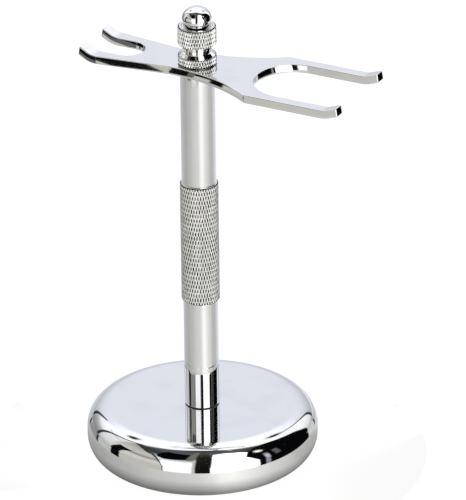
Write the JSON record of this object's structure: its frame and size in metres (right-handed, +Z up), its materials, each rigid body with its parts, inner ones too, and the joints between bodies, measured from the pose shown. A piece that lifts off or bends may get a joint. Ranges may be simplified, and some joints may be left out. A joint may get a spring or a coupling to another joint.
{
  "type": "razor stand",
  "caption": "Chrome shaving stand: weighted round base, knurled-grip column and a swivelling forked plate that holds a safety razor and a shaving brush, clamped by a finial nut.",
  "frame": {"origin": "on the column axis, in the plane of the rubber pad that the stand rests on", "axes": "+Z up along the column; +X towards the brush fork; -X towards the razor fork"},
  "size_m": [0.1024, 0.08, 0.1697],
  "materials": {
    "chrome": "mirror-polished chrome plate on brass and zinc",
    "plate_chrome": "mirror-polished chrome plate on steel sheet, edges lightly rounded",
    "knurled_chrome": "diamond-knurled brass, chrome plated",
    "steel": "bright zinc-plated fastener steel",
    "cast_iron": "rough cast, machined faces",
    "rubber": "matte black non-slip rubber",
    "fibre": "thin vulcanised-fibre washer",
    "nylon": "natural nylon"
  },
  "bodies": {
    "stand": {"base_shell": "chrome", "base_ballast": "cast_iron", "base_pad": "rubber", "base_screw": "steel", "spring_washer": "steel", "flat_washer": "steel", "foot_washer": "fibre", "column_lower": "chrome", "lower_stud": "steel", "grip_barrel": "knurled_chrome", "upper_stud": "steel", "column_upper": "chrome", "top_stud": "steel", "plate_washer": "fibre"},
    "plate": {"holder_plate": "plate_chrome"},
    "finial_lift": {"finial_washer": "nylon"},
    "finial": {"finial_body": "knurled_chrome", "finial_dome": "chrome"}
  },
  "joints": [
    {"name": "plate_swivel", "type": "hinge", "parent": "stand", "child": "plate", "pos_m": [0, 0, 0.1476], "axis": [0, 0, 1], "continuous": true},
    {"name": "finial_rise", "type": "slide", "parent": "stand", "child": "finial_lift", "axis": [0, 0, 1], "range_m": [0, 0.0061]},
    {"name": "finial_turn", "type": "hinge", "parent": "finial_lift", "child": "finial", "pos_m": [0, 0, 0.1491], "axis": [0, 0, 1], "range_deg": [0, 2160]}
  ],
  "couplings": [
    {"joint": "finial_rise", "follows": "finial_turn", "m_per_rad": 0.00015915}
  ]
}
